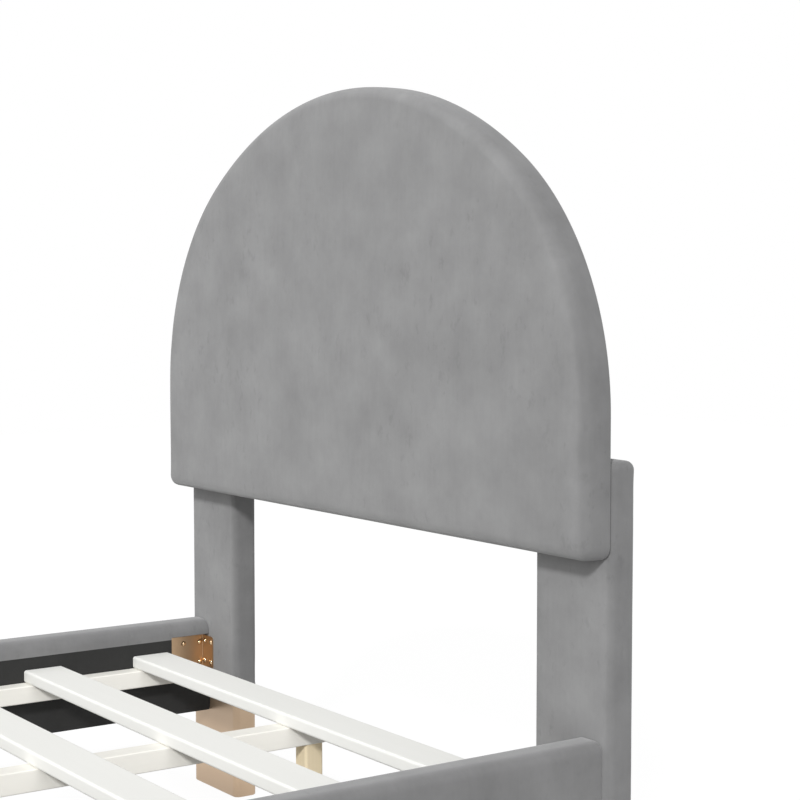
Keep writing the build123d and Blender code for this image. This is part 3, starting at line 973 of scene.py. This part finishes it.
    def pin(self) -> None:
        """Sets the staples along the lining's rim, apart from where the posts cover it."""
        guide = self.outline("guide", self.high.x - self.lining_high.x + self.staple_inset)
        corners = [guide.data.vertices[index].co.copy() for index in guide.data.polygons[0].vertices]
        bpy.data.objects.remove(guide, do_unlink=True)
        post_low, post_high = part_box("post_cover_right")
        post_inner = post_low.x - self.staple_width
        post_top = post_high.z + self.staple_width
        depth = self.lining_low.y + self.lining_room + self.lining_t
        model = self.staple()
        copies = []
        walked = 0.0
        for start, end in zip(corners, corners[1:] + corners[:1]):
            length = (end - start).length
            while walked < length:
                place = start.lerp(end, walked / length)
                walked += self.staple_pitch
                if abs(place.x) > post_inner and place.z < post_top:
                    continue
                copy = model.copy()
                copy.data = model.data.copy()
                copy.location = (place.x, depth, place.z)
                copy.rotation_euler = (0, -math.atan2(end.z - start.z, end.x - start.x), 0)
                bpy.context.scene.collection.objects.link(copy)
                copies.append(copy)
            walked -= length
        bpy.data.objects.remove(model, do_unlink=True)
        Bench.alone(copies[0])
        for copy in copies:
            copy.select_set(True)
        bpy.ops.object.join()
        Bench.settle(copies[0])
        copies[0].name = "headboard_staples"
        Bench.smooth(copies[0])
        self.dresser.dress(copies[0], Slot.SCREW_METAL)

    def build(self) -> None:
        """Makes the panel's pieces."""
        self.pad()
        self.line()
        self.pin()


@dataclass
class Post:
    """One padded head post."""

    dresser: Dresser
    side: Side
    slope: float = 0.002
    front_top_radius: float = 0.014
    back_top_radius: float = 0.0112
    top_facets: int = 8
    corner_radius: float = 0.0105
    corner_facets: int = 6
    rows: int = 60
    columns: int = 17
    layers: int = 2
    least_layer: float = 0.01
    bolt_head: float = 0.008
    bolt_room: float = 0.0008
    bolt_depth: float = 0.0117
    bolt_facets: int = 40
    held_height: float = 0.004
    free_height: float = 0.02
    stuffing: Stuffing = Stuffing()

    def form(self, low: Vector, high: Vector) -> Item:
        """Shapes the plain post: a block with rounded corners, whose top falls a little outwards.

        Args:
            low: Lowest corner.
            high: Highest corner.

        Returns:
            The form, before it is padded.
        """
        item = Bench.block(f"post_pad_{self.side.word}", low, high)
        middle, size = (low + high) / 2, high - low
        outwards = self.side.value
        face_x, face_y = size.x / 2 - NEAR, size.y / 2 - NEAR
        top = high.z - 2 * self.slope
        with Bench.editing(item):
            Bench.pick(
                item,
                Kind.EDGE,
                lambda ends: all(p.z > middle.z and (p.x - middle.x) * outwards > 0 for p in ends),
            )
            bpy.ops.transform.translate(value=(0, 0, -self.slope))
            for radius, towards in ((self.back_top_radius, 1), (self.front_top_radius, -1)):
                Bench.round_edges(
                    item,
                    radius,
                    self.top_facets,
                    lambda ends, towards=towards: all(
                        p.z > top and (p.y - middle.y) * towards > face_y for p in ends
                    ),
                )
            Bench.round_edges(
                item,
                self.corner_radius,
                self.corner_facets,
                lambda ends: all(abs(p.x - middle.x) > face_x for p in ends)
                and any(p.z > middle.z for p in ends)
                and Bench.level(ends, 0),
            )
            Bench.divide(item, 2, size.z / 2, self.rows)
            Bench.divide(item, 0, size.x / 2, self.columns)
            Bench.divide(item, 1, self.least_layer, self.layers)
        return item

    def bore(self, item: Item, back: float) -> None:
        """Sinks the holes in which the heads of the headboard bolts lie.

        Args:
            item: The padded post.
            back: Where its back lies.
        """
        low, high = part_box("headboard_bolts")
        for height in (low.z + self.bolt_head, high.z - self.bolt_head):
            bpy.ops.object.select_all(action="DESELECT")
            bpy.ops.mesh.primitive_cylinder_add(
                vertices=self.bolt_facets,
                radius=self.bolt_head + self.bolt_room,
                depth=2 * self.bolt_depth,
                location=(self.side.value * (high.x - self.bolt_head), back, height),
                rotation=(math.pi / 2, 0, 0),
            )
            Bench.cut(item, bpy.context.object)

    def build(self) -> None:
        """Makes the post's padded cover."""
        cover, foam = (f"post_{layer}_{self.side.word}" for layer in ("cover", "foam"))
        low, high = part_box(cover)
        item = self.form(low, high)
        self.stuffing.puff(item, lambda p: (p[:, 2] - low.z - self.held_height) / self.free_height)
        self.bore(item, high.y)
        Bench.smooth(item)
        self.dresser.dress(item, Slot.VELVET, cover, foam)


@dataclass
class Bar:
    """A padded bar with a rounded top: a side rail or the foot board."""

    dresser: Dresser
    prefix: str
    suffix: str
    inner: Vector
    end_radius: float
    brackets: tuple[str, ...] = ()
    swell: float = 0.0012
    outer_radius: float = 0.0145
    inner_radius: float = 0.019
    top_facets: int = 8
    end_facets: int = 4
    foot_radius: float = 0.0045
    foot_facets: int = 3
    cover_t: float = 0.0015
    window_depth: float = 0.0009
    lining_t: float = 0.0006
    lining_depth: float = 0.00015
    lining_radius: float = 0.006
    lining_facets: int = 5
    lining_end: float = 0.0004
    pocket_along: float = 0.0037
    pocket_up: float = 0.0047
    pocket_floor: float = 0.0003
    timber_top: float = 0.0105
    held_depth: float = 0.003
    free_depth: float = 0.010
    overrun: float = 0.010
    cuts: int = 15
    least_bay: float = 0.016
    bay_cuts: int = 15
    rows: int = 12
    least_row: float = 0.05
    layers: int = 3
    least_layer: float = 0.01
    stuffing: Stuffing = Stuffing()

    def __post_init__(self) -> None:
        """Works out the axes and faces from the frame."""
        self.low, self.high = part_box(self.node("cover"))
        self.window_low, self.window_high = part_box(self.node("lining"))
        self.middle = (self.low + self.high) / 2
        self.along = 1 if self.inner.x else 0
        self.across = 1 - self.along
        self.sign = self.inner[self.across]
        self.inner_face = self.high[self.across] if self.sign > 0 else self.low[self.across]
        self.reach = (self.high[self.along] - self.low[self.along]) / 2

    def node(self, layer: str) -> str:
        """The name of one layer of the bar, as the nodes and the pieces have it."""
        return f"{self.prefix}_{layer}{self.suffix}"

    def block(self, name: str, depths: Range, run: Range, rise: Range) -> Item:
        """Adds a block by its depths behind the inner face, its run along the bar and its heights.

        Args:
            name: The object's name.
            depths: Two depths behind the inner face.
            run: Two places along the bar.
            rise: Two heights.

        Returns:
            The block.
        """
        corners = []
        for depth, place, height in zip(depths, run, rise):
            corner = Vector((0, 0, height))
            corner[self.across] = self.inner_face - depth * self.sign
            corner[self.along] = place
            corners.append(corner)
        low = [min(a, b) for a, b in zip(*corners)]
        high = [max(a, b) for a, b in zip(*corners)]
        return Bench.block(name, low, high)

    def freedom(self, points: np.ndarray) -> np.ndarray:
        """Tells how freely the padding swells.

        Args:
            points: Places as rows.

        Returns:
            Over 0 where foam lies under the velvet, and under 0 where it is drawn over timber.
        """
        from_inner = (self.inner_face - points[:, self.across]) * self.sign - self.timber_top
        from_end = self.reach - np.abs(points[:, self.along] - self.middle[self.along]) - self.held_depth
        from_bottom = points[:, 2] - self.low.z - self.held_depth
        return np.minimum(np.minimum(from_inner, from_end), from_bottom) / self.free_depth

    def form(self) -> Item:
        """Shapes the plain bar: a block with a rounded top and rounded ends.

        Returns:
            The form, before it is padded.
        """
        item = Bench.block(self.node("pad"), self.low, self.high + Vector((0, 0, self.swell)))
        along, across, middle = self.along, self.across, self.middle
        end = self.reach - NEAR
        with Bench.editing(item):
            for radius, inwards in ((self.outer_radius, -1), (self.inner_radius, 1)):
                Bench.round_edges(
                    item,
                    radius,
                    self.top_facets,
                    lambda ends, towards=inwards * self.sign: all(
                        p.z > self.high.z and (p[across] - middle[across]) * towards > 0 for p in ends
                    )
                    and Bench.level(ends, across),
                )
            Bench.round_edges(
                item,
                self.end_radius,
                self.end_facets,
                lambda ends: all(abs(p[along] - middle[along]) > end for p in ends)
                and any(p.z > middle.z for p in ends)
                and Bench.level(ends, along),
            )
            end -= self.end_radius
            bottom = self.low.z + NEAR
            Bench.round_edges(
                item,
                self.foot_radius,
                self.foot_facets,
                lambda ends: all(abs(p[along] - middle[along]) > end and p.z < bottom for p in ends)
                and Bench.level(ends, along),
            )
            Bench.divide(item, along, self.reach, self.cuts)
            Bench.divide(item, along, self.least_bay, self.bay_cuts)
            Bench.divide(item, 2, self.least_row, self.rows)
            Bench.divide(item, across, self.least_layer, self.layers)
        return item

    def window(self, item: Item) -> None:
        """Cuts back the strip of the inner face that the lining covers.

        Args:
            item: The bar.
        """
        past = self.overrun if self.brackets else 0.0
        run = (self.window_low[self.along] - past, self.window_high[self.along] + past)
        rise = (self.low.z - self.overrun, self.window_high.z)
        Bench.cut(item, self.block("window", (-self.overrun, self.window_depth), run, rise))

    def pocket(self, item: Item, bracket: str) -> None:
        """Cuts the pocket in which a corner bracket lies.

        Args:
            item: The bar.
            bracket: The bracket's node.
        """
        low, high = (corner.copy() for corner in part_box(bracket))
        low[self.along] -= self.pocket_along
        high[self.along] += self.pocket_along
        low.z -= self.pocket_up
        high.z += self.pocket_up
        if self.sign > 0:
            low[self.across] += self.pocket_floor
        else:
            high[self.across] -= self.pocket_floor
        if self.middle[self.along] < low[self.along]:
            high[self.along] += self.overrun
        else:
            low[self.along] -= self.overrun
        Bench.cut(item, Bench.block("pocket", low, high))

    def line(self) -> None:
        """Makes the black lining that is stretched down the inner face."""
        middle = self.middle[self.along]
        run = (self.window_low[self.along], self.window_high[self.along])
        if self.brackets:
            run = (
                max(run[0] - self.cover_t, self.low[self.along] + self.lining_end),
                min(run[1] + self.cover_t, self.high[self.along] - self.lining_end),
            )
        rise = (self.low.z + self.lining_depth, self.window_high.z - self.lining_depth)
        depths = (self.lining_depth, self.lining_depth + self.lining_t)
        item = self.block(self.node("lining_cloth"), depths, run, rise)
        with Bench.editing(item):
            Bench.round_edges(
                item,
                self.lining_radius,
                self.lining_facets,
                lambda ends: all(p.z < rise[0] + NEAR for p in ends) and not Bench.level(ends, self.across),
            )
        width, length = rise[1] - rise[0], run[1] - run[0]
        area = width * length
        for bracket in self.brackets:
            low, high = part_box(bracket)
            inner_end = low[self.along] if low[self.along] > middle else high[self.along]
            outwards = 1 if inner_end > middle else -1
            edge = inner_end - outwards * self.pocket_along
            to_end = self.reach - abs(edge - middle)
            cut_run = (edge, edge + outwards * (to_end + self.overrun))
            cut_rise = (low.z - self.pocket_up, rise[1] + self.overrun)
            Bench.cut(item, self.block("notch", (-self.overrun, self.overrun), cut_run, cut_rise))
            area -= (to_end - self.lining_end) * (rise[1] - cut_rise[0])
        Bench.smooth(item)
        self.dresser.dress(item, Slot.LINING, self.node("lining"))
        self.node("core")
        self.node("pad")

    def build(self) -> None:
        """Makes the bar's padded cover and its lining."""
        item = self.form()
        self.stuffing.puff(item, self.freedom)
        self.window(item)
        for bracket in self.brackets:
            self.pocket(item, bracket)
        Bench.smooth(item)
        self.dresser.dress(item, Slot.VELVET, self.node("cover"), self.node("foam"))
        self.line()


@dataclass(frozen=True)
class Box:
    """A square soft box."""

    name: str
    place: Point
    aim: Point
    power: float
    size: float


@dataclass
class Studio:
    """Camera, floor, lamps and background."""

    eye: Point = (2.19333, -0.49746, 0.85539)
    turn: float = 55.1814
    dip: float = 3.4198
    lens: float = 79.654
    sensor: float = 36.0
    sight: float = 50.0
    floor_size: float = 16.0
    floor_lit: float = 0.9
    floor_dim: float = 0.5
    floor_glow: float = 1.05
    glow_share: float = 0.9
    ambient: float = 0.35
    mirrored: float = 0.5
    key_place: Point = (2.9, -3.2, 2.55)
    key_power: float = 2.0
    key_spread: float = 7.0
    boxes: tuple[Box, ...] = (
        Box("right", (7.5, -1.0, 3.6), (0, 0, 0.3), power=190, size=4.5),
        Box("left_front", (-2.2, -4.5, 2.2), (0, 0.5, 0.5), power=70, size=3),
        Box("overhead", (0, 0.3, 5), (0, 0.3, 0), power=42, size=3),
    )

    def camera(self) -> None:
        """Adds the camera at the photograph's angle."""
        data = bpy.data.cameras.new("camera")
        data.lens = self.lens
        data.sensor_width = self.sensor
        data.clip_end = self.sight
        item = bpy.data.objects.new("camera", data)
        item.location = self.eye
        item.rotation_euler = (math.radians(90 - self.dip), 0, math.radians(self.turn))
        bpy.context.scene.collection.objects.link(item)
        bpy.context.scene.camera = item

    def floor(self) -> None:
        """Adds the floor, white to the camera and in reflections, but with the object's shadow."""
        bpy.ops.object.select_all(action="DESELECT")
        bpy.ops.mesh.primitive_plane_add(size=self.floor_size, location=(0, 0, 0))
        item = bpy.context.object
        item.name = "floor"
        recipe = Recipe("floor")
        recipe.tree.nodes.remove(recipe.shader)
        path = recipe.node("ShaderNodeLightPath", {}, {})
        rays = [Term(recipe, path.outputs[f"Is {kind} Ray"]) for kind in ("Camera", "Glossy")]
        seen = (rays[0] + rays[1]).clipped()
        lit, dim = (
            recipe.node("ShaderNodeBsdfDiffuse", {}, {"Color": (grey, grey, grey)}).outputs[0]
            for grey in (self.floor_lit, self.floor_dim)
        )
        glow = recipe.node("ShaderNodeEmission", {}, {"Color": (1, 1, 1), "Strength": self.floor_glow})
        values = {0: self.glow_share, 1: lit, 2: glow.outputs[0]}
        shown = recipe.node("ShaderNodeMixShader", {}, values).outputs[0]
        both = recipe.node("ShaderNodeMixShader", {}, {0: seen, 1: dim, 2: shown}).outputs[0]
        recipe.feed(recipe.tree.nodes["Material Output"].inputs["Surface"], both)
        item.data.materials.append(recipe.material)

    def world(self) -> None:
        """Adds a white background, which lights the object less and shows dimmer in reflections."""
        world = bpy.data.worlds.new("world")
        bpy.context.scene.world = world
        world.use_nodes = True
        graph = Graph(world.node_tree)
        background = graph.tree.nodes["Background"]
        path = graph.node("ShaderNodeLightPath", {}, {})
        camera, glossy = (Term(graph, path.outputs[f"Is {kind} Ray"]) for kind in ("Camera", "Glossy"))
        unseen = graph.mix(glossy, self.ambient, self.mirrored)
        graph.feed(background.inputs["Color"], (1, 1, 1))
        graph.feed(background.inputs["Strength"], graph.mix(camera, unseen, 1.0))

    @staticmethod
    def lamp(name: str, kind: str, place: Point, aim: Point, **settings: float | str) -> None:
        """Adds a lamp that points from one place to another.

        Args:
            name: The lamp's name.
            kind: Its type.
            place: Where it stands.
            aim: What it points at.
            settings: Properties of the lamp's data.
        """
        data = bpy.data.lights.new(name, kind)
        for key, value in settings.items():
            setattr(data, key, value)
        item = bpy.data.objects.new(name, data)
        item.location = place
        direction = Vector(aim) - Vector(place)
        item.rotation_euler = direction.to_track_quat("-Z", "Y").to_euler()
        bpy.context.scene.collection.objects.link(item)

    def lamps(self) -> None:
        """Adds a soft-edged key lamp from the right front, and the soft boxes."""
        spread = math.radians(self.key_spread)
        self.lamp("key", "SUN", self.key_place, (0, 0, 0), energy=self.key_power, angle=spread)
        for box in self.boxes:
            self.lamp(box.name, "AREA", box.place, box.aim, energy=box.power, shape="SQUARE", size=box.size)

    def build(self) -> None:
        """Sets up the camera, the floor, the background and the lamps."""
        self.camera()
        self.floor()
        self.world()
        self.lamps()
        bpy.context.scene.view_settings.view_transform = "Standard"


def main() -> None:
    """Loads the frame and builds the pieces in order."""
    logging.basicConfig(level=logging.INFO, format="%(message)s")
    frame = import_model()
    Studio().build()
    dresser = Dresser(frame)
    dresser.dress_nodes()
    Headboard(dresser).build()
    for side in Side:
        Post(dresser, side).build()
        inner = Vector((-side.value, 0, 0))
        brackets = (f"head_bracket_{side.word}", f"foot_bracket_{side.word}")
        Bar(dresser, "side_rail", f"_{side.word}", inner, end_radius=0.0045, brackets=brackets).build()
    Bar(dresser, "foot_board", "", Vector((0, 1, 0)), end_radius=0.012, bay_cuts=8).build()


if __name__ == "__main__":
    main()
